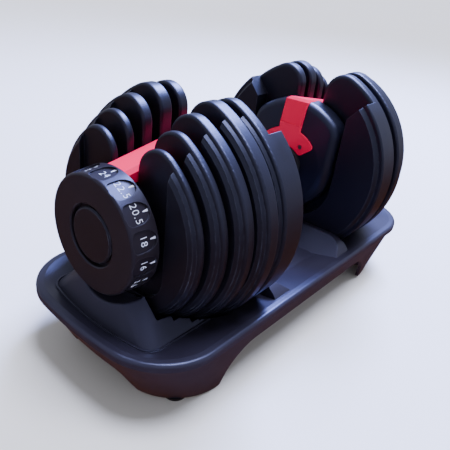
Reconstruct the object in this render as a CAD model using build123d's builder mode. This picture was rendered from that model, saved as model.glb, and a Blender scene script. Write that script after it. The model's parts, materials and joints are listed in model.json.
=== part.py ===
from build123d import *
import math
import os

# Dial-select adjustable dumbbell standing in its moulded tray, in millimetres.
# X runs along the dumbbell, Z is up and the floor is z = 0, under the middle of the tray.
# Each end is the same set of pieces, turned half a turn about Z. Distances along the
# dumbbell are counted outwards from its middle.

# Whole dumbbell
dumbbell_length = 398.0
axis_height = 136.0
sides = {"left": -1, "right": 1}

# Weight settings: which plates, counted from the dial, each one lifts
lifted_plates = [
    (1, 2, 3, 4, 5),
    (2, 3, 4, 5),
    (3, 4, 5),
    (2, 4, 5),
    (4, 5),
    (3, 5),
    (2, 5),
    (1, 5),
    (5,),
    (1, 3),
    (3,),
    (1, 2),
    (2,),
    (1,),
    (),
]
setting_pitch = 360.0 / len(lifted_plates)

# Clearances
running_clearance = 0.08
fit_clearance = 0.05
seat_gap = 0.3
side_gap = 1.0
moving_gap = 0.5

# Axle and selector sleeve
axle_radius = 6.0
sleeve_radius = 10.0
key_width = 4.0
key_height = 1.2
axle_screw_radius = 3.0
axle_screw_length = 14.0
axle_screw_head_radius = 5.5
axle_screw_head = 2.6
washer_radius = 11.5
washer_thickness = 1.5

# Dial
dial_depth = 23.0
dial_back_radius = 49.5
dial_front_radius = 47.5
dial_edge_round = 2.5
dial_wall = 5.5
dial_front_wall = 8.5
dial_hub_radius = 15.0
screw_well_radius = 13.0
screw_well_depth = 6.0
recess_width = 16.1
recess_depth = 1.8
recess_start = 1.0
recess_middle = 11.5
recess_end = 21.3
recess_corner = 4.5
first_setting_angle = 3.6

# Dial cap
cap_radius = 22.3
cap_groove = 2.4
cap_groove_bevel = 0.9
cap_depth = 4.5
cap_sink = 0.5
cap_wall = 2.8
cap_face = 2.4
cap_bevel = 1.3

# Plates, counted from the dial towards the handle
plate_radii = [79.0, 87.5, 96.0, 102.0, 101.5]
ear_thicknesses = [6.3, 7.3, 10.3, 12.8, 11.5]
dial_gap = 9.5
ear_gap = 8.2
ear_round = 20.0
slot_half_width = 13.5
rim_round = 2.4
rim_ledge = 0.2
facet_in = 4.0
facet_rise = 2.8
crease = 0.5
raised_in = 7.0
raised_height = 4.6
channel_half_width = 49.0
channel_floor = 52.0
channel_round = 26.0
back_ear_round = 4.0
back_rise = 14.5
back_round = 2.0
back_ledge = 4.5
back_pad_in = 7.5
back_pad_rise = 4.0
back_step_angle = 42.0
back_channel_half_width = 53.0
back_channel_floor = 58.0
back_channel_round = 44.0
post_notch_half_width = 9.5

# Hangers, riveted into each plate below its slot
hanger_width = 14.0
hanger_thickness = 1.6
hanger_top = 19.0
hanger_bottom = 46.0
hanger_lip_width = 8.0
hanger_lip_thickness = 2.5

# Selector discs
disc_radius = 36.0
disc_flange = 3.0
disc_web = 2.5
first_disc_web = 1.5

# Red bridge over the plates
bridge_half_width = 12.5
bridge_under = 38.5
bridge_dial_height = 48.0
bridge_handle_height = 69.5
bridge_bevel = 3.0
bridge_wall = 3.0
bridge_leg = 3.5
bridge_ring_radius = 15.0
bridge_nose = 3.5
foot_thickness = 2.0
foot_inner_radius = 20.0
foot_outer_radius = 39.0
foot_half_angle = 52.0
foot_corner_round = 4.0
foot_screw_radius = 27.0
foot_screw_angle = 35.0
bridge_screw_head_radius = 2.4
bridge_screw_head = 1.0
bridge_screw_shank_radius = 1.5
bridge_screw_shank = 9.0

# Inner housing beside the grip
housing_depth = 24.5
housing_half_width = 50.0
housing_top_radius = 67.0
housing_shoulder_round = 19.0
housing_flat_radius = 40.0
housing_cone_slope = 0.18
housing_edge_round = 8.0
housing_wall = 3.5
housing_cover_thickness = 3.0
housing_cover_inset = 1.5
cover_screw_radius = 1.6
cover_screw_head_radius = 3.2
cover_screw_length = 12.0
cover_screw_circle = 43.0

# Index ring and lock pin
index_inner_radius = 26.0
index_outer_radius = 33.0
index_depth = 5.5
index_web = 2.0
notch_width = 5.0
notch_depth = 4.0
lock_travel = 4.0
pin_radius = 3.0
pin_collar_radius = 4.2
pin_collar = 2.0
pin_head_width = 6.0
pin_head_depth = 5.0
pin_head_height = 7.5
tooth_width = 4.0
tooth_height = 4.5
pin_ledge = 2.0
spring_wire_radius = 0.5
spring_turns = 4

# Grip
grip_end_radius = 16.5
grip_middle_radius = 18.2
grip_collar_radius = 19.2
grip_collar = 5.0
tube_radius = 12.5
tube_socket = 3.0

# Tray
tray_half_length = 219.0
tray_half_width = 97.0
tray_bow = 11.0
tray_corner = 60.0
tray_rim_rise = 4.0
tray_rim_height = 7.0
tray_rim_round = 3.2
tray_rim_width = 7.0
skirt_inset = 3.0
skirt_draft_length = 27.0
skirt_draft_width = 9.0
tray_wall = 4.0
deck_height = 60.0
tray_band_length = 17.0
deck_half_width = 65.0
deck_bow = 8.0
deck_corner = 16.0
deck_lip = 1.4
deck_lip_height = 1.2
deck_lip_start = 118.0
cradle_radius = 58.0
cradle_top = 44.0
cradle_top_half_width = 35.0
cradle_draft = 13.0
cradle_bow = 3.0
cradle_corner = 24.0
cradle_edge_round = 2.2
cradle_reach = 0.7
wall_rise = 16.0
wall_top_start = 60.0
wall_foot_start = 38.0
wall_top_half_width = 66.0
wall_foot_half_width = 89.5
wall_foot_rise = 2.0
rib_gap = 0.8
bowl_gap = 1.8
spine_half_width = 22.0
side_arch_height = 38.0
side_leg_length = 88.0
side_arch_slope = 12.0
side_arch_round = 36.0
end_arch_height = 26.0
end_leg_width = 53.0
end_arch_slope = 10.0
end_arch_round = 12.0
post_radius = 5.0
post_base_radius = 8.0
foot_pad_radius = 10.0
foot_pad_height = 2.0
foot_pad_inset_x = 56.0
foot_pad_inset_y = 33.0
foot_column_radius = 11.5

# Places along the dumbbell, from its middle
half_length = dumbbell_length / 2
dial_face = half_length
dial_back = dial_face - dial_depth
cap_front = dial_face - cap_sink
cap_seat = cap_front - cap_depth
hub_face = cap_seat - screw_well_depth
axle_end = hub_face + side_gap
plate_faces = []
stack_face = dial_back - dial_gap + ear_gap
for ear_thickness in ear_thicknesses:
    plate_faces.append((stack_face - ear_gap - ear_thickness, stack_face - ear_gap))
    stack_face -= ear_gap + ear_thickness
back_face = stack_face - back_rise - back_pad_rise
housing_back = stack_face - side_gap - housing_cover_thickness
housing_face = housing_back - housing_depth
sleeve_start = housing_face + tube_socket + 2 * side_gap
cradle_start = dial_back - cradle_reach
flank_start = plate_faces[2][0]
bridge_end = dial_back - moving_gap
leg_start = bridge_end - bridge_leg
pin_middle = sleeve_start - side_gap + pin_collar_radius + moving_gap
index_start = pin_middle + pin_collar_radius + moving_gap
index_web_start = index_start + index_depth

# Places in the tray
deck_half_length = tray_half_length - tray_band_length
tray_rim_top = deck_height + tray_rim_rise
wall_top = deck_height + wall_rise
side_arch_half_length = tray_half_length - side_leg_length
end_arch_half_width = tray_half_width - end_leg_width
foot_pad_x = tray_half_length - foot_pad_inset_x
foot_pad_y = tray_half_width - foot_pad_inset_y

# Heights of the lock pin's features below the axis, docked
housing_bottom = housing_half_width
tooth_bottom = index_inner_radius - moving_gap
ledge_top = tooth_bottom + lock_travel + moving_gap
ledge_bottom = ledge_top + pin_ledge
pocket_floor = housing_bottom - housing_wall
collar_bottom = pocket_floor - lock_travel - seat_gap
collar_top = collar_bottom - pin_collar
pin_end = housing_bottom + moving_gap
post_top = axis_height - pin_end - seat_gap

turning_axis = Axis((0, 0, axis_height), (1, 0, 0))


def end_plane(side, distance):
    """Plane across the dumbbell, facing outwards, with its y up."""
    return Plane(origin=(side * distance, 0, axis_height), x_dir=(0, side, 0), z_dir=(side, 0, 0))


def profile_plane(side):
    """Plane through the axis for turned profiles: x runs outwards and y is the radius."""
    return Plane(origin=(0, 0, axis_height), x_dir=(side, 0, 0), z_dir=(0, -side, 0))


def polar(radius, angle):
    """Point at an angle in degrees."""
    return (radius * math.cos(math.radians(angle)), radius * math.sin(math.radians(angle)))


def ring_sector(inner, outer, start, sweep):
    """Flat face between two arcs, from a start angle over a sweep, in degrees."""
    with BuildSketch() as sector:
        with BuildLine():
            CenterArc((0, 0), outer, start, sweep)
            CenterArc((0, 0), inner, start, sweep)
            Line(polar(inner, start), polar(outer, start))
            Line(polar(inner, start + sweep), polar(outer, start + sweep))
        make_face()
    return sector.sketch


def keyed_bore():
    """Bore that slides over the sleeve and its key."""
    with BuildSketch() as bore:
        Circle(sleeve_radius + fit_clearance)
        with Locations((0, sleeve_radius)):
            Rectangle(key_width + 2 * fit_clearance, 2 * (key_height + fit_clearance))
    return bore.sketch


def save(piece, name):
    """Label a finished piece and write it."""
    piece.label = name
    export_step(piece, f"parts/{name}.step")


# Dial body

def recess_plane(side, setting):
    """Floor of one finger recess on the dial's rim; settings run clockwise seen from outside."""
    turn = math.radians(first_setting_angle + setting * setting_pitch)
    radial = Vector(0, side * math.sin(turn), math.cos(turn))
    outward = Vector(side, 0, 0)
    taper = (dial_back_radius - dial_front_radius) / dial_depth
    origin = outward * dial_back + Vector(0, 0, axis_height) + radial * (dial_back_radius - recess_depth)
    return Plane(origin=origin, x_dir=outward - radial * taper, z_dir=radial + outward * taper)


def recess_face():
    """Finger recess seen from above: half an ellipse towards the plates, square at the front."""
    with BuildSketch() as recess:
        with Locations(((recess_middle + recess_end) / 2, 0)):
            Rectangle(recess_end - recess_middle, recess_width)
        fillet(recess.vertices().group_by(Axis.X)[-1], recess_corner)
        with Locations((recess_middle, 0)):
            Ellipse(recess_middle - recess_start, recess_width / 2)
    return recess.sketch


def make_dial(side):
    """Numbered drum, hollow behind, with a finger recess for each setting."""
    wall_radius = dial_back_radius - dial_wall
    pocket_end = dial_face - dial_front_wall
    recess_radius = cap_radius + cap_groove
    with BuildPart() as dial:
        with BuildSketch(profile_plane(side)) as section:
            with BuildLine():
                Polyline(
                    (dial_back, sleeve_radius + fit_clearance),
                    (hub_face, sleeve_radius + fit_clearance),
                    (hub_face, screw_well_radius),
                    (cap_seat, screw_well_radius),
                    (cap_seat, recess_radius),
                    (dial_face, recess_radius),
                    (dial_face, dial_front_radius),
                    (dial_back, dial_back_radius),
                    (dial_back, wall_radius),
                    (pocket_end, wall_radius),
                    (pocket_end, dial_hub_radius),
                    (dial_back, dial_hub_radius),
                    close=True,
                )
            make_face()
            rim = section.vertices().sort_by_distance((dial_face, dial_front_radius))[0]
            fillet(rim, dial_edge_round)
            groove_edge = section.vertices().sort_by_distance((dial_face, recess_radius))[0]
            chamfer(groove_edge, cap_groove_bevel)
        revolve(axis=turning_axis)
        for setting in range(len(lifted_plates)):
            with BuildSketch(recess_plane(side, setting)):
                add(recess_face())
            extrude(amount=recess_width, mode=Mode.SUBTRACT)
        with BuildSketch(end_plane(side, dial_back)):
            add(keyed_bore())
        extrude(amount=hub_face - dial_back, mode=Mode.SUBTRACT)
    return dial.part


def make_dial_cap(side):
    """Round cup that covers the axle screw in the dial's face."""
    with BuildPart() as cap:
        with BuildSketch(profile_plane(side)) as section:
            with BuildLine():
                Polyline(
                    (cap_seat, cap_radius - cap_wall),
                    (cap_seat, cap_radius),
                    (cap_front, cap_radius),
                    (cap_front, 0),
                    (cap_front - cap_face, 0),
                    (cap_front - cap_face, cap_radius - cap_wall),
                    close=True,
                )
            make_face()
            chamfer(section.vertices().sort_by_distance((cap_front, cap_radius))[0], cap_bevel)
        revolve(axis=turning_axis)
    return cap.part


def make_sleeve(side):
    """Keyed tube that carries the dial, the discs and the index ring on the axle."""
    with BuildPart() as sleeve:
        with BuildSketch(end_plane(side, sleeve_start)):
            Circle(sleeve_radius)
            with Locations((0, sleeve_radius)):
                Rectangle(key_width, 2 * key_height)
            Circle(axle_radius + running_clearance, mode=Mode.SUBTRACT)
        extrude(amount=hub_face - sleeve_start)
    return sleeve.part


def lifting_runs(number):
    """Runs of neighbouring settings that lift a plate, as (first setting, count)."""
    runs = []
    for setting, plates in enumerate(lifted_plates):
        if number not in plates:
            continue
        if runs and sum(runs[-1]) == setting:
            runs[-1] = (runs[-1][0], runs[-1][1] + 1)
        else:
            runs.append((setting, 1))
    return runs


def make_selector_disc(side, number):
    """Disc whose flange runs under its plate's hanger at each setting that lifts the plate."""
    ear_face = plate_faces[number - 1][1]
    room_end = leg_start if number == 1 else ear_face + ear_gap
    web = first_disc_web if number == 1 else disc_web
    flange_start = ear_face + 2 * moving_gap
    web_start = room_end - moving_gap - web
    with BuildPart() as disc:
        with BuildSketch(end_plane(side, web_start)):
            Circle(disc_radius)
            add(keyed_bore(), mode=Mode.SUBTRACT)
        extrude(amount=web)
        with BuildSketch(end_plane(side, flange_start)):
            for first, count in lifting_runs(number):
                end_angle = -90 - (first - 0.5) * setting_pitch
                add(ring_sector(disc_radius - disc_flange, disc_radius, end_angle, -count * setting_pitch))
        extrude(amount=web_start - flange_start)
    return disc.part


def make_index_ring(side):
    """Cup with a notch inside its lip for each setting, which the lock pin's tooth drops into."""
    with BuildPart() as ring:
        with BuildSketch(end_plane(side, index_start)):
            Circle(index_outer_radius)
            Circle(index_inner_radius, mode=Mode.SUBTRACT)
            with PolarLocations(index_inner_radius, len(lifted_plates), start_angle=-90):
                Rectangle(2 * notch_depth, notch_width, mode=Mode.SUBTRACT)
        extrude(amount=index_depth)
        with BuildSketch(end_plane(side, index_web_start)):
            Circle(index_outer_radius)
            add(keyed_bore(), mode=Mode.SUBTRACT)
        extrude(amount=index_web)
    return ring.part


# Plates

def channel_face(half_width, floor, corner, top):
    """Upright channel, open at the top, that lets the discs lift out of a plate."""
    with BuildSketch() as channel:
        with Locations((0, (top - floor) / 2)):
            Rectangle(2 * half_width, top + floor)
        fillet(channel.vertices().group_by(Axis.Y)[0], corner)
    return channel.sketch


def plate_raised(side, number):
    """Raised part of a plate's dial side: a turned bevel, a crease and a cone up to a flat face."""
    outer = plate_faces[number - 1][1]
    radius = plate_radii[number - 1]
    with BuildPart() as raised:
        with BuildSketch(profile_plane(side)):
            with BuildLine():
                Polyline(
                    (outer, 0),
                    (outer, radius - rim_round - rim_ledge),
                    (outer + facet_rise, radius - facet_in),
                    (outer + facet_rise, radius - facet_in - crease),
                    (outer + raised_height, radius - raised_in),
                    (outer + raised_height, 0),
                    close=True,
                )
            make_face()
        revolve(axis=turning_axis)
        with BuildSketch(end_plane(side, outer)):
            add(channel_face(channel_half_width, channel_floor, channel_round, radius))
        extrude(amount=raised_height, mode=Mode.SUBTRACT)
    return raised.part


def plate_back(side):
    """Thick handle side of the innermost plate, which leaves its ears, the housing and a post free."""
    inner = plate_faces[-1][0]
    radius = plate_radii[-1]
    edge = inner - back_rise
    reach = 2 * radius
    with BuildPart() as back:
        with BuildSketch(profile_plane(side)) as section:
            with BuildLine():
                Polyline(
                    (inner + back_ear_round, 0),
                    (inner + back_ear_round, radius),
                    (edge, radius),
                    (edge, radius - back_ledge),
                    (back_face, radius - back_pad_in),
                    (back_face, 0),
                    close=True,
                )
            make_face()
            fillet(section.vertices().sort_by_distance((edge, radius))[0], back_round)
        revolve(axis=turning_axis)
        with BuildSketch(end_plane(side, back_face)):
            add(channel_face(back_channel_half_width, back_channel_floor, back_channel_round, radius))
            with BuildLine():
                Polyline(
                    (0, 0),
                    polar(reach, 90 - back_step_angle),
                    polar(reach, 90 + back_step_angle),
                    close=True,
                )
            make_face()
            with Locations((0, -radius)):
                Rectangle(2 * post_notch_half_width, 2 * (radius - back_channel_floor / 2))
        extrude(amount=inner + back_ear_round - back_face, mode=Mode.SUBTRACT)
    return back.part


def make_plate(side, number):
    """Slotted weight plate: a slab with ears, thicker on both sides of its channel."""
    inner, outer = plate_faces[number - 1]
    radius = plate_radii[number - 1]
    with BuildPart() as plate:
        with BuildSketch(end_plane(side, inner)) as ears:
            Circle(radius)
            Circle(slot_half_width, mode=Mode.SUBTRACT)
            with Locations((0, radius / 2)):
                Rectangle(2 * slot_half_width, radius, mode=Mode.SUBTRACT)
            fillet(ears.vertices().group_by(Axis.Y)[-1], ear_round)
        extrude(amount=outer - inner)
        rims = plate.edges().filter_by(GeomType.CIRCLE)
        rims = rims.filter_by(lambda edge: edge.radius > radius - 1)
        if number < len(plate_radii):
            fillet(rims, rim_round)
        else:
            handle_rims = rims.filter_by(lambda edge: abs(edge.center().X) < inner + 1)
            fillet(rims.filter_by(lambda edge: abs(edge.center().X) > outer - 1), rim_round)
            fillet(handle_rims, back_ear_round)
            add(plate_back(side))
        add(plate_raised(side, number))
        with BuildSketch(end_plane(side, outer - hanger_thickness)):
            with Locations((0, -(hanger_top + hanger_bottom) / 2)):
                Rectangle(hanger_width, hanger_bottom - hanger_top)
        extrude(amount=hanger_thickness, mode=Mode.SUBTRACT)
    return plate.part


def make_hanger(side, number):
    """Steel tab let into the plate, with a lip that reaches over its disc's flange."""
    outer = plate_faces[number - 1][1]
    web = first_disc_web if number == 1 else disc_web
    room_end = leg_start if number == 1 else outer + ear_gap
    lip_reach = room_end - moving_gap - web - moving_gap - outer
    lip_middle = disc_radius - disc_flange - moving_gap - hanger_lip_thickness / 2
    with BuildPart() as hanger:
        with BuildSketch(end_plane(side, outer - hanger_thickness)):
            with Locations((0, -(hanger_top + hanger_bottom) / 2)):
                Rectangle(hanger_width, hanger_bottom - hanger_top)
        extrude(amount=hanger_thickness)
        with BuildSketch(end_plane(side, outer)):
            with Locations((0, -lip_middle)):
                Rectangle(hanger_lip_width, hanger_lip_thickness)
        extrude(amount=lip_reach)
    return hanger.part


# Handle body

def bridge_top(distance):
    """Height of the bridge's top above the axis, which falls in a straight line to the dial."""
    fall = (bridge_handle_height - bridge_dial_height) / (bridge_end - housing_face)
    return bridge_dial_height + (bridge_end - distance) * fall


def make_bridge(side):
    """Bar from the housing to the dial, with a foot on the housing and a leg round the sleeve."""
    foot_face = housing_face - foot_thickness
    strap_top = bridge_handle_height - bridge_nose
    strap_lean = housing_cone_slope * (strap_top - housing_flat_radius)
    nose = foot_face + strap_lean + bridge_nose
    hollow_start = housing_back + bridge_wall
    hollow_end = leg_start - bridge_wall
    with BuildPart() as bridge:
        with BuildSketch(profile_plane(side)):
            with BuildLine():
                Polyline(
                    (foot_face, bridge_under),
                    (foot_face, housing_flat_radius),
                    (foot_face + strap_lean, strap_top),
                    (nose, bridge_top(nose)),
                    (bridge_end, bridge_dial_height),
                    (bridge_end, bridge_under),
                    close=True,
                )
            make_face()
        extrude(amount=bridge_half_width, both=True)
        top_edges = bridge.edges().filter_by(lambda edge: edge.length > (bridge_end - nose) * 0.9)
        chamfer(top_edges.sort_by(Axis.Z)[-2:], bridge_bevel)
        with BuildSketch(profile_plane(side)):
            with BuildLine():
                Polyline(
                    (hollow_start, bridge_under),
                    (hollow_start, bridge_top(hollow_start) - bridge_wall - bridge_bevel),
                    (hollow_end, bridge_top(hollow_end) - bridge_wall - bridge_bevel),
                    (hollow_end, bridge_under),
                    close=True,
                )
            make_face()
        extrude(amount=bridge_half_width - bridge_wall, both=True, mode=Mode.SUBTRACT)
        with BuildSketch(end_plane(side, leg_start)):
            Circle(bridge_ring_radius)
            with Locations((0, bridge_under / 2 + bridge_wall / 2)):
                Rectangle(2 * (bridge_half_width - bridge_wall), bridge_under + bridge_wall)
            Circle(sleeve_radius + key_height + moving_gap, mode=Mode.SUBTRACT)
        extrude(amount=bridge_leg)
        with BuildSketch(end_plane(side, foot_face)) as foot:
            add(
                ring_sector(
                    foot_inner_radius, foot_outer_radius, 90 - foot_half_angle, 2 * foot_half_angle
                )
            )
            fillet(foot.vertices(), foot_corner_round)
            with Locations((0, foot_outer_radius)):
                Rectangle(2 * bridge_half_width, 2 * foot_corner_round)
            with Locations(*foot_screw_places()):
                Circle(bridge_screw_head_radius + fit_clearance, mode=Mode.SUBTRACT)
        extrude(amount=foot_thickness)
    return bridge.part


def foot_screw_places():
    """The two screws in a bridge's foot, one in each wing."""
    return [polar(foot_screw_radius, 90 + sign * foot_screw_angle) for sign in (-1, 1)]


def cover_screw_places():
    """The four screws that close a housing's back cover."""
    return [polar(cover_screw_circle, angle) for angle in (35, 145, 215, 325)]


def housing_outline(inset):
    """Arched top, upright sides and round bottom of the inner housing."""
    half_width = housing_half_width - inset
    top_radius = housing_top_radius - inset
    shoulder_height = math.sqrt(top_radius**2 - half_width**2)
    with BuildSketch() as outline:
        with BuildLine():
            ThreePointArc((-half_width, 0), (0, -half_width), (half_width, 0))
            Line((half_width, 0), (half_width, shoulder_height))
            ThreePointArc((half_width, shoulder_height), (0, top_radius), (-half_width, shoulder_height))
            Line((-half_width, shoulder_height), (-half_width, 0))
        make_face()
        fillet(outline.vertices().group_by(Axis.Y)[-1], housing_shoulder_round - inset)
    return outline.sketch


def make_housing(side):
    """Moulded inner housing: flat disc, sloped band and deep rounded sides, open behind."""
    cavity_radius = index_outer_radius + side_gap
    pin_room = 2 * (pin_collar_radius + moving_gap)
    with BuildPart() as housing:
        with BuildSketch(end_plane(side, housing_face)):
            add(housing_outline(0))
        extrude(amount=housing_depth)
        cone_end = housing_top_radius + housing_half_width
        with BuildSketch(profile_plane(side)):
            with BuildLine():
                Polyline(
                    (housing_face, housing_flat_radius),
                    (housing_face, cone_end),
                    (housing_face + housing_cone_slope * (cone_end - housing_flat_radius), cone_end),
                    close=True,
                )
            make_face()
        revolve(axis=turning_axis, mode=Mode.SUBTRACT)
        band = housing.faces().filter_by(GeomType.CONE)
        fillet(band.edges().filter_by(lambda edge: edge.geom_type != GeomType.CIRCLE), housing_edge_round)
        with BuildSketch(end_plane(side, index_start - side_gap)):
            Circle(cavity_radius)
        extrude(amount=housing_depth, mode=Mode.SUBTRACT)
        with BuildSketch(end_plane(side, sleeve_start - side_gap)):
            Circle(sleeve_radius + key_height + moving_gap)
            with Locations((0, -pocket_floor / 2)):
                Rectangle(pin_room, pocket_floor)
        extrude(amount=housing_depth, mode=Mode.SUBTRACT)
        with BuildSketch(end_plane(side, sleeve_start - side_gap)):
            with Locations((0, -(ledge_top + ledge_bottom) / 2)):
                Rectangle(pin_room, pin_ledge)
        extrude(amount=index_start - sleeve_start)
        pin_hole = pin_radius + running_clearance
        with BuildSketch(Plane(origin=(side * pin_middle, 0, axis_height - housing_bottom - side_gap))):
            Circle(pin_hole)
        extrude(amount=housing_bottom - ledge_top + side_gap, mode=Mode.SUBTRACT)
        with BuildSketch(end_plane(side, housing_face)):
            Circle(axle_radius + fit_clearance)
        extrude(amount=housing_depth, mode=Mode.SUBTRACT)
        with BuildSketch(end_plane(side, housing_face)):
            Circle(tube_radius + fit_clearance)
        extrude(amount=tube_socket, mode=Mode.SUBTRACT)
        with BuildSketch(end_plane(side, housing_face)):
            with Locations((0, bridge_under + housing_top_radius)):
                Rectangle(2 * (bridge_half_width + fit_clearance), 2 * (housing_top_radius + fit_clearance))
        extrude(amount=housing_depth, mode=Mode.SUBTRACT)
        with BuildSketch(end_plane(side, housing_face)):
            with Locations(*foot_screw_places()):
                Circle(bridge_screw_shank_radius + fit_clearance)
        extrude(amount=bridge_screw_shank, mode=Mode.SUBTRACT)
        with BuildSketch(end_plane(side, housing_back)):
            with Locations(*cover_screw_places()):
                Circle(cover_screw_radius + fit_clearance)
        extrude(amount=-cover_screw_length, mode=Mode.SUBTRACT)
    return housing.part


def make_housing_cover(side):
    """Flat plate that closes the housing's back, round the sleeve and under the bridge."""
    with BuildPart() as cover:
        with BuildSketch(end_plane(side, housing_back)):
            add(housing_outline(housing_cover_inset))
            Circle(sleeve_radius + key_height + moving_gap, mode=Mode.SUBTRACT)
            with Locations((0, bridge_under + housing_top_radius)):
                Rectangle(
                    2 * (bridge_half_width + fit_clearance),
                    2 * (housing_top_radius + fit_clearance),
                    mode=Mode.SUBTRACT,
                )
        extrude(amount=housing_cover_thickness)
        with BuildSketch(end_plane(side, housing_back)):
            with Locations(*cover_screw_places()):
                Circle(cover_screw_radius + fit_clearance)
        extrude(amount=housing_cover_thickness, mode=Mode.SUBTRACT)
        with BuildSketch(end_plane(side, housing_back + housing_cover_thickness / 2)):
            with Locations(*cover_screw_places()):
                Circle(cover_screw_head_radius + fit_clearance)
        extrude(amount=housing_cover_thickness, mode=Mode.SUBTRACT)
    return cover.part


def make_cover_screws():
    """Pan-head screws of both housing covers."""
    with BuildPart() as screws:
        for side in sides.values():
            head_seat = housing_back + housing_cover_thickness / 2
            with BuildSketch(end_plane(side, head_seat)):
                with Locations(*cover_screw_places()):
                    Circle(cover_screw_head_radius)
            extrude(amount=housing_cover_thickness / 2)
            with BuildSketch(end_plane(side, head_seat)):
                with Locations(*cover_screw_places()):
                    Circle(cover_screw_radius)
            extrude(amount=side_gap - cover_screw_length)
    return screws.part


def make_bridge_screws():
    """Sunk screws that hold both bridge feet to their housings."""
    with BuildPart() as screws:
        for side in sides.values():
            with BuildSketch(end_plane(side, housing_face)):
                with Locations(*foot_screw_places()):
                    Circle(bridge_screw_head_radius)
            extrude(amount=-bridge_screw_head)
            with BuildSketch(end_plane(side, housing_face)):
                with Locations(*foot_screw_places()):
                    Circle(bridge_screw_shank_radius)
            extrude(amount=bridge_screw_shank - side_gap)
    return screws.part


def make_lock_pin(side):
    """Pin that a tray post lifts: collar for its spring, head and a tooth for the index ring."""
    tooth_end = index_web_start - side_gap
    head_start = pin_middle - pin_head_depth / 2
    with BuildPart() as pin:
        with BuildSketch(Plane(origin=(side * pin_middle, 0, axis_height - pin_end))):
            Circle(pin_radius)
        extrude(amount=pin_end - tooth_bottom)
        with BuildSketch(Plane(origin=(side * pin_middle, 0, axis_height - collar_bottom))):
            Circle(pin_collar_radius)
        extrude(amount=pin_collar)
        with BuildSketch(end_plane(side, head_start)):
            with Locations((0, pin_head_height / 2 - tooth_bottom)):
                Rectangle(pin_head_width, pin_head_height)
        extrude(amount=pin_head_depth)
        with BuildSketch(end_plane(side, pin_middle)):
            with Locations((0, tooth_height / 2 - tooth_bottom)):
                Rectangle(tooth_width, tooth_height)
        extrude(amount=tooth_end - pin_middle)
    return pin.part


def make_lock_spring(side):
    """Coil spring round the lock pin, between its collar and the housing's ledge."""
    length = collar_top - ledge_bottom - 2 * spring_wire_radius - 2 * fit_clearance
    start = (side * pin_middle, 0, axis_height - collar_top + spring_wire_radius + fit_clearance)
    coil_radius = (pin_radius + pin_collar_radius) / 2
    with BuildPart() as spring:
        with BuildLine() as coil:
            Helix(pitch=length / spring_turns, height=length, radius=coil_radius, center=start)
        with BuildSketch(Plane(origin=coil.line @ 0, z_dir=coil.line % 0)):
            Circle(spring_wire_radius)
        sweep()
    return spring.part


def make_axle():
    """Steel bar through the whole dumbbell, drilled at its ends."""
    with BuildPart() as axle:
        with BuildSketch(end_plane(1, -axle_end)):
            Circle(axle_radius)
        extrude(amount=2 * axle_end)
        for side in sides.values():
            with BuildSketch(end_plane(side, axle_end)):
                Circle(axle_screw_radius + fit_clearance)
            extrude(amount=-axle_screw_length - side_gap, mode=Mode.SUBTRACT)
    return axle.part


def make_axle_screws():
    """Screws in the axle's ends."""
    with BuildPart() as screws:
        for side in sides.values():
            with BuildSketch(end_plane(side, axle_end + washer_thickness)):
                Circle(axle_screw_head_radius)
            extrude(amount=axle_screw_head)
            with BuildSketch(end_plane(side, axle_end + washer_thickness)):
                Circle(axle_screw_radius)
            extrude(amount=-axle_screw_length)
    return screws.part


def make_washers():
    """Washers that keep the dials on the axle."""
    with BuildPart() as washers:
        for side in sides.values():
            with BuildSketch(end_plane(side, axle_end)):
                Circle(washer_radius)
                Circle(axle_screw_radius + fit_clearance, mode=Mode.SUBTRACT)
            extrude(amount=washer_thickness)
    return washers.part


def make_handle_tube():
    """Steel tube inside the grip, seated in both housings."""
    with BuildPart() as tube:
        with BuildSketch(end_plane(1, -housing_face - tube_socket)):
            Circle(tube_radius)
            Circle(axle_radius + fit_clearance, mode=Mode.SUBTRACT)
        extrude(amount=2 * (housing_face + tube_socket))
    return tube.part


def make_grip():
    """Rubber grip, fuller in the middle, with a collar at each end."""
    collar_start = housing_face - grip_collar
    bore = tube_radius + fit_clearance
    with BuildPart() as grip:
        with BuildSketch(profile_plane(1)):
            with BuildLine():
                Polyline(
                    (collar_start, grip_end_radius),
                    (collar_start, grip_collar_radius),
                    (housing_face, grip_collar_radius),
                    (housing_face, bore),
                    (-housing_face, bore),
                    (-housing_face, grip_collar_radius),
                    (-collar_start, grip_collar_radius),
                    (-collar_start, grip_end_radius),
                )
                ThreePointArc(
                    (-collar_start, grip_end_radius),
                    (0, grip_middle_radius),
                    (collar_start, grip_end_radius),
                )
            make_face()
        revolve(axis=turning_axis)
    return grip.part


# Tray body

def tray_outline(half_long, half_wide, bow, corner):
    """Rounded rectangle with bowed ends."""
    end = half_long - bow
    with BuildSketch() as outline:
        with BuildLine():
            Line((-end, half_wide), (end, half_wide))
            ThreePointArc((end, half_wide), (half_long, 0), (end, -half_wide))
            Line((end, -half_wide), (-end, -half_wide))
            ThreePointArc((-end, -half_wide), (-half_long, 0), (-end, half_wide))
        make_face()
        fillet(outline.vertices(), corner)
    return outline.sketch


def well_steps(margin):
    """(start, end, radius) of each stretch of a well, grown by a margin."""
    steps = []
    steps.append((back_face, plate_faces[-1][0], plate_radii[-1] + seat_gap))
    for number, (inner, outer) in enumerate(plate_faces):
        radius = plate_radii[number]
        raised_end = outer + (raised_height if number == 0 else ear_gap)
        steps.append((inner, outer, radius + seat_gap))
        steps.append((outer, raised_end, radius - rim_round + rib_gap))
    return [(start - rib_gap - margin, end + rib_gap + margin, r + margin) for start, end, r in steps]


def well_section(margin):
    """Half section of a plate well, to be turned about the axis."""
    with BuildSketch() as section:
        for start, end, radius in well_steps(margin):
            with Locations(((start + end) / 2, radius / 2)):
                Rectangle(end - start, radius)
    return section.sketch


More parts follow.
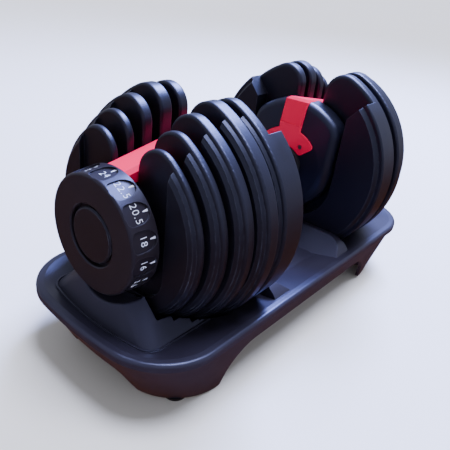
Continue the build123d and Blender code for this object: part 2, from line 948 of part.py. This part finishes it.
def bowl_section(margin):
    """Half section of the open bowl round a well, which keeps off the plates' rims."""
    start = back_face - bowl_gap / 2 - margin
    profile = [(start, 0), (start, plate_radii[-1] + bowl_gap + margin)]
    profile.append((plate_faces[-1][1], plate_radii[-1] + bowl_gap + margin))
    for number in range(len(plate_radii) - 2, -1, -1):
        middle = sum(plate_faces[number]) / 2
        profile.append((middle, plate_radii[number] + bowl_gap + margin))
    profile.append((cradle_start + margin, plate_radii[0] + margin))
    profile.append((cradle_start + margin, 0))
    with BuildSketch() as section:
        with BuildLine():
            Polyline(*profile, close=True)
        make_face()
    return section.sketch


def tray_bowls():
    """Open bowls at both ends, on each side of the stepped spine that the plates rest on."""
    with BuildPart() as bowls:
        for side in sides.values():
            with BuildSketch(profile_plane(side)):
                add(bowl_section(0))
            revolve(axis=turning_axis)
        Box(2 * tray_half_length, 2 * spine_half_width, 4 * axis_height, mode=Mode.SUBTRACT)
    return bowls.part


def tray_mounds():
    """Mound under each dial, scooped out round it, whose flanks run down to the deck."""
    base_length = deck_half_length - deck_lip
    base_width = deck_half_width - deck_lip
    with BuildPart() as mounds:
        with BuildSketch(Plane.XY.offset(deck_height)):
            add(tray_outline(base_length, base_width, deck_bow, deck_corner - deck_lip))
        with BuildSketch(Plane.XY.offset(axis_height - cradle_top)):
            add(tray_outline(base_length - cradle_draft, cradle_top_half_width, cradle_bow, cradle_corner))
        loft()
        Box(2 * flank_start, 2 * tray_half_width, 4 * axis_height, mode=Mode.SUBTRACT)
        for side in sides.values():
            with BuildSketch(end_plane(side, flank_start)):
                Circle(cradle_radius)
            extrude(amount=deck_half_length - flank_start, mode=Mode.SUBTRACT)
        scoops = mounds.faces().filter_by(GeomType.CYLINDER)
        scoops = scoops.filter_by(lambda face: abs(face.radius - cradle_radius) < 0.01)
        fillet(scoops.edges(), cradle_edge_round)
    return mounds.part


def well_walls():
    """Raised wall on the handle side of each well, which falls to the deck towards the grip."""
    foot = deck_height - tray_wall / 2
    with BuildPart() as walls:
        for side in sides.values():
            with BuildSketch(Plane.XZ):
                with BuildLine():
                    Polyline(
                        (side * wall_foot_start, foot),
                        (side * wall_foot_start, deck_height),
                        (side * wall_top_start, wall_top),
                        (side * back_face, wall_top),
                        (side * back_face, foot),
                        close=True,
                    )
                make_face()
            extrude(amount=wall_foot_half_width, both=True)
        wall_foot = deck_height + wall_foot_rise
        with BuildSketch(Plane.YZ):
            with BuildLine():
                Line((-wall_top_half_width, wall_top), (wall_top_half_width, wall_top))
                for sign in (-1, 1):
                    TangentArc(
                        (sign * wall_top_half_width, wall_top),
                        (sign * wall_foot_half_width, wall_foot),
                        tangent=(sign, 0),
                    )
                Polyline(
                    (-wall_foot_half_width, wall_foot),
                    (-wall_foot_half_width, foot),
                    (wall_foot_half_width, foot),
                    (wall_foot_half_width, wall_foot),
                )
            make_face()
        extrude(amount=back_face, both=True, mode=Mode.INTERSECT)
    return walls.part


def foot_columns():
    """Places of the tray's four feet."""
    return [(x, y) for x in (-foot_pad_x, foot_pad_x) for y in (-foot_pad_y, foot_pad_y)]


def tray_cavity():
    """Hollow under the tray, which leaves the well shells and the foot columns standing."""
    top = deck_height - tray_wall
    inset = skirt_inset + tray_wall
    with BuildPart() as cavity:
        with BuildSketch(Plane.XY):
            add(
                tray_outline(
                    tray_half_length - inset - skirt_draft_length,
                    tray_half_width - inset - skirt_draft_width,
                    tray_bow,
                    tray_corner - inset,
                )
            )
        with BuildSketch(Plane.XY.offset(top)):
            add(
                tray_outline(
                    tray_half_length - inset,
                    tray_half_width - inset,
                    tray_bow,
                    tray_corner - inset,
                )
            )
        loft()
        for side in sides.values():
            with BuildSketch(profile_plane(side)):
                add(well_section(tray_wall))
                add(bowl_section(tray_wall))
            revolve(axis=turning_axis, mode=Mode.SUBTRACT)
        with BuildSketch(Plane.XY):
            with Locations(*foot_columns()):
                Circle(foot_column_radius)
        extrude(amount=deck_height, mode=Mode.SUBTRACT)
    return cavity.part


def arch_face(half_wide, slope, height, corner):
    """Opening between two legs, wider at the floor."""
    with BuildSketch() as arch:
        with BuildLine():
            Polyline(
                (-half_wide, -foot_pad_height),
                (half_wide, -foot_pad_height),
                (half_wide - slope, height),
                (slope - half_wide, height),
                close=True,
            )
        make_face()
        fillet(arch.vertices().group_by(Axis.Y)[-1], corner)
    return arch.sketch


def make_tray():
    """Moulded tray: beaded rim, sloped band, stepped plate wells, dial cradles and legs."""
    rim_start = tray_rim_top - tray_rim_height
    skirt_half_length = tray_half_length - skirt_inset
    skirt_half_width = tray_half_width - skirt_inset
    skirt_corner = tray_corner - skirt_inset
    with BuildPart() as tray:
        with BuildSketch(Plane.XY.offset(foot_pad_height)):
            add(
                tray_outline(
                    skirt_half_length - skirt_draft_length,
                    skirt_half_width - skirt_draft_width,
                    tray_bow,
                    skirt_corner,
                )
            )
        with BuildSketch(Plane.XY.offset(rim_start)):
            add(tray_outline(skirt_half_length, skirt_half_width, tray_bow, skirt_corner))
        loft()
        with BuildSketch(Plane.XY.offset(rim_start)):
            add(tray_outline(tray_half_length, tray_half_width, tray_bow, tray_corner))
        extrude(amount=tray_rim_height)
        fillet(tray.edges().group_by(Axis.Z)[-1], tray_rim_round)
        with BuildSketch(Plane.XY.offset(deck_height)):
            add(tray_outline(deck_half_length, deck_half_width, deck_bow, deck_corner))
        with BuildSketch(Plane.XY.offset(tray_rim_top)):
            add(
                tray_outline(
                    tray_half_length - tray_rim_width,
                    tray_half_width - tray_rim_width,
                    tray_bow,
                    tray_corner - tray_rim_width,
                )
            )
        loft(mode=Mode.SUBTRACT)
        with BuildSketch(Plane.XY.offset(deck_height)):
            add(tray_outline(deck_half_length, deck_half_width, deck_bow, deck_corner))
            add(
                tray_outline(
                    deck_half_length - deck_lip,
                    deck_half_width - deck_lip,
                    deck_bow,
                    deck_corner - deck_lip,
                ),
                mode=Mode.SUBTRACT,
            )
            Rectangle(2 * deck_lip_start, 2 * tray_half_width, mode=Mode.SUBTRACT)
        extrude(amount=deck_lip_height)
        add(tray_mounds())
        add(well_walls())
        add(tray_bowls(), mode=Mode.SUBTRACT)
        for side in sides.values():
            with BuildSketch(profile_plane(side)):
                add(well_section(0))
            revolve(axis=turning_axis, mode=Mode.SUBTRACT)
            post_foot = axis_height - plate_radii[-1] - seat_gap - tray_wall / 2
            with BuildSketch(Plane(origin=(side * pin_middle, 0, post_foot))):
                Circle(post_base_radius)
            with BuildSketch(Plane(origin=(side * pin_middle, 0, post_top))):
                Circle(post_radius)
            loft()
        add(tray_cavity(), mode=Mode.SUBTRACT)
        side_arch = arch_face(side_arch_half_length, side_arch_slope, side_arch_height, side_arch_round)
        end_arch = arch_face(end_arch_half_width, end_arch_slope, end_arch_height, end_arch_round)
        for sign in (-1, 1):
            with BuildSketch(Plane(origin=(0, sign * deck_half_width, 0), x_dir=(1, 0, 0), z_dir=(0, -1, 0))):
                add(side_arch)
            extrude(amount=-sign * (tray_half_width - deck_half_width), mode=Mode.SUBTRACT)
            with BuildSketch(Plane(origin=(sign * foot_pad_x, 0, 0), x_dir=(0, 1, 0), z_dir=(1, 0, 0))):
                add(end_arch)
            extrude(amount=sign * (tray_half_length - foot_pad_x), mode=Mode.SUBTRACT)
    return tray.part


def make_tray_feet():
    """Four round rubber pads under the tray's legs."""
    with BuildPart() as feet:
        with BuildSketch(Plane.XY):
            with Locations(*foot_columns()):
                Circle(foot_pad_radius)
        extrude(amount=foot_pad_height)
    return feet.part


os.makedirs("parts", exist_ok=True)
save(make_tray(), "tray")
save(make_tray_feet(), "tray_feet")
save(make_axle(), "axle")
save(make_axle_screws(), "axle_screws")
save(make_washers(), "axle_washers")
save(make_handle_tube(), "handle_tube")
save(make_grip(), "grip")
save(make_bridge_screws(), "bridge_screws")
save(make_cover_screws(), "cover_screws")
for end, side in sides.items():
    save(make_housing(side), f"housing_{end}")
    save(make_housing_cover(side), f"housing_cover_{end}")
    save(make_bridge(side), f"bridge_{end}")
    save(make_lock_pin(side), f"lock_pin_{end}")
    save(make_lock_spring(side), f"lock_spring_{end}")
    save(make_dial(side), f"dial_{end}")
    save(make_dial_cap(side), f"dial_cap_{end}")
    save(make_sleeve(side), f"selector_sleeve_{end}")
    save(make_index_ring(side), f"index_ring_{end}")
    for number in range(1, len(plate_radii) + 1):
        save(make_selector_disc(side, number), f"selector_disc_{end}_{number}")
        save(make_plate(side, number), f"plate_{end}_{number}")
        save(make_hanger(side, number), f"hanger_{end}_{number}")
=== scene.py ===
import json
import math
import bpy
from mathutils import Matrix, Vector


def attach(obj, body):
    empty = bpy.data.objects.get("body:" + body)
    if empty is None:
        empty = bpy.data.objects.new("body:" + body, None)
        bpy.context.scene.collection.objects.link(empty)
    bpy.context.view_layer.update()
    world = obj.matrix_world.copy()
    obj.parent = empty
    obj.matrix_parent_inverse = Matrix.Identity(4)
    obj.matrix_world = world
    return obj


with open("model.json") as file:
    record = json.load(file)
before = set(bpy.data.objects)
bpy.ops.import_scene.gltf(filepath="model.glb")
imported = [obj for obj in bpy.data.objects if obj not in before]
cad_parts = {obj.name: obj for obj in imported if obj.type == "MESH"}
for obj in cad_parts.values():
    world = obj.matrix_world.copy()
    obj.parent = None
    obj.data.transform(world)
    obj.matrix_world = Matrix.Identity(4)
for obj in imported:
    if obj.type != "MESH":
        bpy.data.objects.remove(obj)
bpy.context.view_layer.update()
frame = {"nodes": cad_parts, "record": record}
nodes = frame["nodes"]

# Dial-select adjustable dumbbell in its tray, in metres. X runs along the axle and Z is up.
MM = 0.001
AXIS_HEIGHT = 0.136
SIDES = {"left": -1, "right": 1}
SETTINGS = [
    "24", "22.5", "20.5", "18", "16", "13.5", "11.5", "10",
    "9", "8", "6.5", "5.5", "4.5", "3.5", "2",
]
PITCH = math.radians(360 / len(SETTINGS))


# Material helpers

# Scale of a noise texture whose features are about 1 mm across
SCALE_1_MM = 1000
# Noise lies mostly between these two values
NOISE_LOW, NOISE_HIGH = 0.3, 0.7
# A Mix node's sockets for colour, whose names it also gives to its other sockets
FACTOR, FIRST, SECOND, COLOUR = 0, 6, 7, 2
BEVEL_SAMPLES = 4
# Cosine between the rounded and the true normal where an edge counts in full
EDGE_COSINE = 0.80


def linear(code):
    """Linear colour with alpha from an sRGB hex code."""
    channels = [int(code[i:i + 2], 16) / 255 for i in (1, 3, 5)]
    return [c / 12.92 if c <= 0.04045 else ((c + 0.055) / 1.055) ** 2.4 for c in channels] + [1.0]


def fill(tree, node, inputs):
    """Gives a node's inputs their values, or links them where a socket is given."""
    for name, value in inputs.items():
        if isinstance(value, bpy.types.NodeSocket):
            tree.links.new(value, node.inputs[name])
        else:
            node.inputs[name].default_value = value


def add(tree, kind, output=None, inputs=None, **settings):
    """Adds one node with its settings and inputs, and returns it or the output that is named."""
    node = tree.nodes.new(kind)
    for name, value in settings.items():
        setattr(node, name, value)
    fill(tree, node, inputs or {})
    return node if output is None else node.outputs[output]


def start_material(name):
    """A new material with its shader and output, and the coordinates that its textures use."""
    material = bpy.data.materials.new(name)
    material.use_nodes = True
    tree = material.node_tree
    tree.nodes.clear()
    shader = add(tree, "ShaderNodeBsdfPrincipled")
    add(tree, "ShaderNodeOutputMaterial", inputs={"Surface": shader.outputs["BSDF"]})
    place = add(tree, "ShaderNodeTexCoord", "Object")
    return material, tree, shader, place


def edge_mask(tree, radius_mm):
    """Bright along edges, where a rounded normal leaves the true one."""
    rounded = add(tree, "ShaderNodeBevel", "Normal", {"Radius": radius_mm * MM}, samples=BEVEL_SAMPLES)
    true = add(tree, "ShaderNodeNewGeometry", "Normal")
    cosine = add(
        tree, "ShaderNodeVectorMath", "Value", {0: rounded, 1: true}, operation="DOT_PRODUCT")
    return add(tree, "ShaderNodeMapRange", "Result", {
        "Value": cosine, "From Min": 1.0, "From Max": EDGE_COSINE})


# Moulded surfaces

CLOUD_MM = 34
CLOUD_SHARE = 0.35
GLOSSIER, DULLER = 0.05, 0.06
GRAIN_STRENGTH = 0.5
RUB_MM = 7
RUB_WIDTH_MM = 1.1
DUST_MM = 1.1
DUST_WIDTH_MM = 2.6
# Pale tone of rubbed edges, which on the cap also serves as a painted highlight
PALE_EDGE_TONE = "#8d92a0"


def moulded(name, colour, second, rough, grain_mm, depth_mm, round_mm, edge_wear_and_highlight,
            specular=0.5, tint="#ffffff"):
    """Moulded surface: fine grain, cloudy sheen, and softened edges that are rubbed paler; on the cap
    the paler edge is also a painted highlight.
    """
    material, tree, shader, place = start_material(name)
    clouds = add(tree, "ShaderNodeTexNoise", "Fac", {
        "Vector": place, "Scale": SCALE_1_MM / CLOUD_MM, "Detail": 3.0})
    grain = add(tree, "ShaderNodeTexNoise", "Fac", {
        "Vector": place, "Scale": SCALE_1_MM / grain_mm, "Roughness": 0.6})

    # Wear along the edges: rubbed stretches, and specks of dust in a wider band; where the amount is
    # high, as on the cap, the pale edge is also a painted highlight
    dust = add(tree, "ShaderNodeTexNoise", "Fac", {
        "Vector": place, "Scale": SCALE_1_MM / DUST_MM, "Detail": 4.0, "Roughness": 0.7})
    specks = add(tree, "ShaderNodeMapRange", "Result", {
        "Value": dust, "From Min": 0.60, "From Max": 0.70})
    rub = add(tree, "ShaderNodeTexNoise", "Fac", {
        "Vector": place, "Scale": SCALE_1_MM / RUB_MM, "Detail": 4.0, "Roughness": 0.65})
    stretches = add(tree, "ShaderNodeMapRange", "Result", {
        "Value": rub, "From Min": 0.38, "From Max": 0.72})
    rubbed = add(tree, "ShaderNodeMath", 0, {
        0: edge_mask(tree, RUB_WIDTH_MM), 1: stretches}, operation="MULTIPLY")
    dusty = add(tree, "ShaderNodeMath", 0, {
        0: edge_mask(tree, DUST_WIDTH_MM), 1: specks}, operation="MULTIPLY")
    marks = add(tree, "ShaderNodeMath", 0, {0: rubbed, 1: dusty}, operation="MAXIMUM")
    wear_and_highlight_mask = add(tree, "ShaderNodeMath", 0, {0: marks, 1: edge_wear_and_highlight}, operation="MULTIPLY")

    # Colour and sheen drift in the same clouds
    drift = add(tree, "ShaderNodeMapRange", "Result", {
        "Value": clouds, "From Min": NOISE_LOW, "From Max": NOISE_HIGH, "To Max": CLOUD_SHARE})
    base = add(tree, "ShaderNodeMix", COLOUR, {
        FACTOR: drift, FIRST: linear(colour), SECOND: linear(second)}, data_type="RGBA")
    base = add(tree, "ShaderNodeMix", COLOUR, {
        FACTOR: wear_and_highlight_mask, FIRST: base, SECOND: linear(PALE_EDGE_TONE)}, data_type="RGBA")
    sheen = add(tree, "ShaderNodeMapRange", "Result", {
        "Value": clouds, "From Min": NOISE_LOW, "From Max": NOISE_HIGH,
        "To Min": rough - GLOSSIER, "To Max": rough + DULLER})

    soft = add(tree, "ShaderNodeBevel", "Normal", {"Radius": round_mm * MM}, samples=BEVEL_SAMPLES)
    bump = add(tree, "ShaderNodeBump", "Normal", {
        "Strength": GRAIN_STRENGTH, "Distance": depth_mm * MM, "Height": grain, "Normal": soft})
    fill(tree, shader, {
        "Base Color": base, "Roughness": sheen, "Normal": bump,
        "Specular IOR Level": specular, "Specular Tint": linear(tint)})
    return material


# Steel

TURNED_LINE_MM = 0.5
TURNED_RUN_MM = 20
LINE_TONE = "#6d6f73"


def machined(name, colour, rough):
    """Turned steel, with fine lines round the axle."""
    material, tree, shader, place = start_material(name)
    stretch = add(tree, "ShaderNodeMapping", "Vector", {
        "Vector": place, "Scale": (TURNED_RUN_MM / TURNED_LINE_MM, 1.0, 1.0)})
    lines = add(tree, "ShaderNodeTexNoise", "Fac", {
        "Vector": stretch, "Scale": SCALE_1_MM / TURNED_RUN_MM, "Detail": 3.0})
    base = add(tree, "ShaderNodeMix", COLOUR, {
        FACTOR: lines, FIRST: linear(colour), SECOND: linear(LINE_TONE)}, data_type="RGBA")
    sheen = add(tree, "ShaderNodeMapRange", "Result", {
        "Value": lines, "From Min": NOISE_LOW, "From Max": NOISE_HIGH,
        "To Min": rough - 0.06, "To Max": rough + 0.08})
    bump = add(tree, "ShaderNodeBump", "Normal", {
        "Strength": 0.2, "Distance": 0.02 * MM, "Height": lines})
    fill(tree, shader, {"Base Color": base, "Roughness": sheen, "Normal": bump, "Metallic": 1.0})
    return material


# Rubber, with pebbles about 2.4 mm across and a finer grain on them

PEBBLES_PER_METRE = 420
PEBBLE_SHARE, FINE_SHARE = 0.8, 0.2
FINE_MM = 0.5
RUBBER_CLOUD_MM = 25
RUBBER_SECOND = "#26262a"


def pebbled_rubber(name, colour):
    """Moulded rubber with a raised pebble texture."""
    material, tree, shader, place = start_material(name)
    pebbles = add(tree, "ShaderNodeTexVoronoi", "Distance", {
        "Vector": place, "Scale": PEBBLES_PER_METRE})
    fine = add(tree, "ShaderNodeTexNoise", "Fac", {
        "Vector": place, "Scale": SCALE_1_MM / FINE_MM})
    large = add(tree, "ShaderNodeMath", 0, {0: pebbles, 1: PEBBLE_SHARE}, operation="MULTIPLY")
    small = add(tree, "ShaderNodeMath", 0, {0: fine, 1: FINE_SHARE}, operation="MULTIPLY")
    height = add(tree, "ShaderNodeMath", 0, {0: large, 1: small}, operation="ADD")
    clouds = add(tree, "ShaderNodeTexNoise", "Fac", {
        "Vector": place, "Scale": SCALE_1_MM / RUBBER_CLOUD_MM, "Detail": 3.0})
    base = add(tree, "ShaderNodeMix", COLOUR, {
        FACTOR: clouds, FIRST: linear(colour), SECOND: linear(RUBBER_SECOND)}, data_type="RGBA")
    sheen = add(tree, "ShaderNodeMapRange", "Result", {
        "Value": clouds, "From Min": NOISE_LOW, "From Max": NOISE_HIGH,
        "To Min": 0.62, "To Max": 0.75})
    bump = add(tree, "ShaderNodeBump", "Normal", {
        "Strength": 0.6, "Distance": 0.35 * MM, "Height": height})
    fill(tree, shader, {"Base Color": base, "Roughness": sheen, "Normal": bump})
    return material


# Printing

INK_GAP_MM = 0.9
INK, THIN_INK = "#e9ebf3", "#80838f"


def pad_print(name):
    """White pad printing, a little thin and rubbed in places."""
    material, tree, shader, place = start_material(name)
    gaps = add(tree, "ShaderNodeTexNoise", "Fac", {
        "Vector": place, "Scale": SCALE_1_MM / INK_GAP_MM, "Detail": 4.0, "Roughness": 0.7})
    rubbed = add(tree, "ShaderNodeMapRange", "Result", {
        "Value": gaps, "From Min": 0.60, "From Max": 0.78})
    base = add(tree, "ShaderNodeMix", COLOUR, {
        FACTOR: rubbed, FIRST: linear(INK), SECOND: linear(THIN_INK)}, data_type="RGBA")
    fill(tree, shader, {"Base Color": base, "Roughness": 0.55})
    return material


# Materials of the record's slots

# Black mouldings show a cool sheen under the studio's lamps
COOL_SHEEN = "#ccd2ff"

finishes = {
    # Urethane moulded over iron: deep black, with a soft highlight along each rounded rim.
    # Its grain is finer than the render can show, so it is drawn at 1.2 mm.
    "plate_coat": moulded(
        "urethane_plate_coat", "#100d11", "#141115", rough=0.40, grain_mm=1.2, depth_mm=0.17,
        round_mm=0.7, edge_wear_and_highlight=0.30, specular=0.70, tint=COOL_SHEEN),
    # Injection-moulded polypropylene from a spark-textured mould: satin, a little paler than the plates
    "tray_plastic": moulded(
        "spark_textured_tray", "#26222c", "#2a2630", rough=0.38, grain_mm=0.5, depth_mm=0.04,
        round_mm=0.8, edge_wear_and_highlight=0.08, specular=0.70, tint=COOL_SHEEN),
    # Injection-moulded ABS: smooth and satin, with a blue-black tone
    "housing_plastic": moulded(
        "satin_abs_housing", "#11111b", "#15151f", rough=0.38, grain_mm=0.5, depth_mm=0.03,
        round_mm=0.8, edge_wear_and_highlight=0.08, specular=0.66, tint=COOL_SHEEN),
    # Fine-textured ABS: a warm black face with little shine
    "dial_plastic": moulded(
        "matt_abs_dial", "#1f1819", "#231c1d", rough=0.40, grain_mm=0.45, depth_mm=0.04,
        round_mm=0.5, edge_wear_and_highlight=0.10, specular=0.53, tint=COOL_SHEEN),
    # The same ABS with a finer texture; its paler edge is partly rubbed wear and partly a painted
    # highlight for the light caught round the cap
    "cap_plastic": moulded(
        "satin_abs_cap", "#1a1516", "#1e191a", rough=0.38, grain_mm=0.45, depth_mm=0.03,
        round_mm=0.4, edge_wear_and_highlight=0.45, specular=0.53, tint=COOL_SHEEN),
    # Red ABS: an even, strong colour with hardly any shine
    "bridge_red": moulded(
        "red_abs_bridge", "#f81446", "#f01040", rough=0.50, grain_mm=0.5, depth_mm=0.03,
        round_mm=0.6, edge_wear_and_highlight=0.05, specular=0.12),
    # Moulded nylon: dark grey and dull
    "selector_plastic": moulded(
        "dark_nylon_selector", "#2b2c30", "#323338", rough=0.55, grain_mm=0.5, depth_mm=0.03,
        round_mm=0.3, edge_wear_and_highlight=0.10),
    # Turned steel: grey, with lines that spread its highlights along the axle
    "steel": machined("turned_steel", "#8b8d90", rough=0.36),
    # Drawn spring wire: a darker and brighter-edged steel
    "spring_steel": machined("spring_wire_steel", "#77797c", rough=0.32),
    # Moulded rubber: nearly black, with a broken, dull highlight
    "grip_rubber": pebbled_rubber("moulded_grip_rubber", "#17171a"),
    "pad_rubber": pebbled_rubber("rubber_foot_pad", "#131314"),
}
white_print = pad_print("white_pad_print")

for piece in frame["record"]["subparts"]:
    slots = nodes[piece["node"]].data.materials
    slots.clear()
    slots.append(finishes[piece["material_slot"]])


# Dial numbers and their pointers, printed on the floors of the finger recesses

DIAL_BACK = 0.176
RECESS_RADIUS = 47.7 * MM
RECESS_TAPER = 2.0 / 23.0
FIRST_ANGLE = math.radians(3.6)
PRINT_LIFT = 0.06 * MM
PRINT_HALF_THICKNESS = 0.04 * MM
NUMBER_HEIGHT = 5.6 * MM
NUMBER_DISTANCE = 11.6 * MM
NUMBER_SPACING = 1.12
NUMBER_THINNING = 0.12 * MM
NUMBER_STEPS = 4
# Height of a digit as a share of the font's size
DIGIT_SHARE = 0.7
POINTER_NEAR = -1.3 * MM
POINTER_FAR = -5.9 * MM
POINTER_MIDDLE = (POINTER_NEAR + POINTER_FAR) / 2
POINTER_WIDTH = 2.0 * MM
POINTER_TIP = 0.6 * MM


def print_frame(side, setting):
    """Place of one recess floor: x runs round the dial, y towards the plates and z outwards."""
    turn = FIRST_ANGLE + setting * PITCH
    radial = Vector((0, side * math.sin(turn), math.cos(turn)))
    along = Vector((0, side * math.cos(turn), -math.sin(turn)))
    outward = Vector((side, 0, 0))
    inward = (radial * RECESS_TAPER - outward).normalized()
    upward = (radial + outward * RECESS_TAPER).normalized()
    matrix = Matrix((along, inward, upward)).transposed().to_4x4()
    back = outward * DIAL_BACK + Vector((0, 0, AXIS_HEIGHT))
    matrix.translation = back + radial * RECESS_RADIUS + upward * PRINT_LIFT
    return matrix


def take_mesh(model):
    """Mesh of a finished model, whose object is then removed."""
    mesh = model.data
    bpy.data.objects.remove(model)
    return mesh


def number_mesh(label):
    """One printed number as a thin mesh, flat at the origin."""
    bpy.ops.object.select_all(action="DESELECT")
    bpy.ops.object.text_add()
    number = bpy.context.active_object
    text = number.data
    text.body = label
    text.size = NUMBER_HEIGHT / DIGIT_SHARE
    text.align_x = "CENTER"
    text.align_y = "CENTER"
    text.space_character = NUMBER_SPACING
    text.extrude = PRINT_HALF_THICKNESS
    text.offset = -NUMBER_THINNING
    text.resolution_u = NUMBER_STEPS
    bpy.ops.object.convert(target="MESH")
    number.data.transform(Matrix.Translation((0, -NUMBER_DISTANCE, 0)))
    return take_mesh(number)


def pointer_mesh():
    """Wedge beside a number: a flat bar whose end away from the plates is drawn in."""
    bpy.ops.object.select_all(action="DESELECT")
    bpy.ops.mesh.primitive_cube_add(
        size=1,
        location=(0, POINTER_MIDDLE, 0),
        scale=(POINTER_WIDTH, POINTER_NEAR - POINTER_FAR, 2 * PRINT_HALF_THICKNESS),
    )
    wedge = bpy.context.active_object
    bpy.ops.object.transform_apply(location=True, rotation=True, scale=True)
    bpy.ops.object.mode_set(mode="EDIT")
    bpy.ops.mesh.select_all(action="DESELECT")
    bpy.ops.object.mode_set(mode="OBJECT")
    for vertex in wedge.data.vertices:
        vertex.select = vertex.co.y < POINTER_MIDDLE
    bpy.ops.object.mode_set(mode="EDIT")
    bpy.ops.transform.resize(
        value=(POINTER_TIP / POINTER_WIDTH, 1, 1), center_override=(0, POINTER_FAR, 0))
    bpy.ops.object.mode_set(mode="OBJECT")
    return take_mesh(wedge)


def join(name, meshes, material, body):
    """One piece from several meshes, riding on a body."""
    parts = []
    for mesh in meshes:
        part = bpy.data.objects.new(name, mesh)
        bpy.context.scene.collection.objects.link(part)
        parts.append(part)
    bpy.ops.object.select_all(action="DESELECT")
    for part in parts:
        part.select_set(True)
    bpy.context.view_layer.objects.active = parts[0]
    bpy.ops.object.join()
    piece = bpy.context.view_layer.objects.active
    piece.name = name
    piece.data.materials.clear()
    piece.data.materials.append(material)
    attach(piece, body)


numbers = [number_mesh(label) for label in SETTINGS]
pointer = pointer_mesh()
for end, side in SIDES.items():
    meshes = []
    for setting, number in enumerate(numbers):
        for shape in (number, pointer):
            mesh = shape.copy()
            mesh.transform(print_frame(side, setting))
            meshes.append(mesh)
    join(f"dial_print_{end}", meshes, white_print, f"dial_body_{end}")


# Camera, from a fit to the photograph's plate rims, dial and tray

AZIMUTH = math.radians(-48.79)
ELEVATION = math.radians(29.96)
ROLL = math.radians(4.82)
AIM = Vector((-0.09277, 0, AXIS_HEIGHT - 0.04668))
DISTANCE = 0.45525
# The photograph's width, focal length and centre of view, in its pixels
PHOTO_WIDTH = 450
FOCAL_LENGTH = 493.48
CENTRE_X, CENTRE_Y = 184.95, 244.88
SENSOR_WIDTH = 36

away = Vector((
    math.sin(AZIMUTH) * math.cos(ELEVATION),
    -math.cos(AZIMUTH) * math.cos(ELEVATION),
    math.sin(ELEVATION),
))
level = (-away).cross(Vector((0, 0, 1))).normalized()
upright = level.cross(-away)
right = level * math.cos(ROLL) + upright * math.sin(ROLL)
up = upright * math.cos(ROLL) - level * math.sin(ROLL)
view = Matrix((right, up, away)).transposed().to_4x4()
view.translation = AIM + away * DISTANCE
lens = bpy.data.cameras.new("camera")
lens.sensor_width = SENSOR_WIDTH
lens.lens = FOCAL_LENGTH / PHOTO_WIDTH * SENSOR_WIDTH
lens.shift_x = (PHOTO_WIDTH / 2 - CENTRE_X) / PHOTO_WIDTH
lens.shift_y = (CENTRE_Y - PHOTO_WIDTH / 2) / PHOTO_WIDTH
lens.clip_start = 0.01
camera = bpy.data.objects.new("camera", lens)
camera.matrix_world = view
bpy.context.scene.collection.objects.link(camera)
bpy.context.scene.camera = camera


# Plain pale floor

FLOOR_SIZE = 80
FLOOR_DROP = 0.0002
FLOOR_CLOUD_MM = 900

bpy.ops.mesh.primitive_plane_add(size=FLOOR_SIZE, location=(0, 0, -FLOOR_DROP))
floor = bpy.context.active_object
floor.name = "floor"
material, tree, shader, place = start_material("pale_studio_floor")
tone = add(tree, "ShaderNodeTexNoise", "Fac", {
    "Vector": place, "Scale": SCALE_1_MM / FLOOR_CLOUD_MM})
base = add(tree, "ShaderNodeMix", COLOUR, {
    FACTOR: tone, FIRST: linear("#fbf3e3"), SECOND: linear("#fdf7ea")}, data_type="RGBA")
fill(tree, shader, {"Base Color": base, "Roughness": 0.9})
floor.data.materials.append(material)
# The black mouldings mirror the dim surroundings below instead of the pale floor
floor.visible_glossy = False


# Soft studio light

KEY_PLACE = Vector((0.98, 0.22, 1.5))
KEY_AIM = Vector((0, 0, 0.12))
OVERHEAD = Vector((0.2, -0.12, 0.97))
# Surroundings fade from the lower to the upper tone just below the horizon
FADE_LOW, FADE_HIGH = -0.2, 0.0
LOWER_TONE, UPPER_TONE = "#945a44", "#e8edff"
SURROUND_STRENGTH = 0.55


def add_lamp(name, kind, colour, energy, direction, place=(0, 0, 0), **settings):
    """One lamp at a place, shining in a direction."""
    data = bpy.data.lights.new(name, kind)
    data.color = linear(colour)[:3]
    data.energy = energy
    for key, value in settings.items():
        setattr(data, key, value)
    lamp = bpy.data.objects.new(name, data)
    lamp.location = place
    lamp.rotation_euler = direction.to_track_quat("-Z", "Y").to_euler()
    bpy.context.scene.collection.objects.link(lamp)


add_lamp("key_light", "AREA", "#9db0ff", 140, KEY_AIM - KEY_PLACE, KEY_PLACE,
         shape="RECTANGLE", size=0.7, size_y=0.6)
add_lamp("overhead_light", "SUN", "#d2dbff", 5.8, -OVERHEAD, angle=math.radians(26))

world = bpy.data.worlds.new("studio")
world.use_nodes = True
tree = world.node_tree
ray = add(tree, "ShaderNodeTexCoord", "Generated")
height = add(tree, "ShaderNodeSeparateXYZ", "Z", {"Vector": ray})
fade = add(tree, "ShaderNodeMapRange", "Result", {
    "Value": height, "From Min": FADE_LOW, "From Max": FADE_HIGH})
glow = add(tree, "ShaderNodeMix", COLOUR, {
    FACTOR: fade, FIRST: linear(LOWER_TONE), SECOND: linear(UPPER_TONE)}, data_type="RGBA")
fill(tree, tree.nodes["Background"], {"Color": glow, "Strength": SURROUND_STRENGTH})
bpy.context.scene.world = world
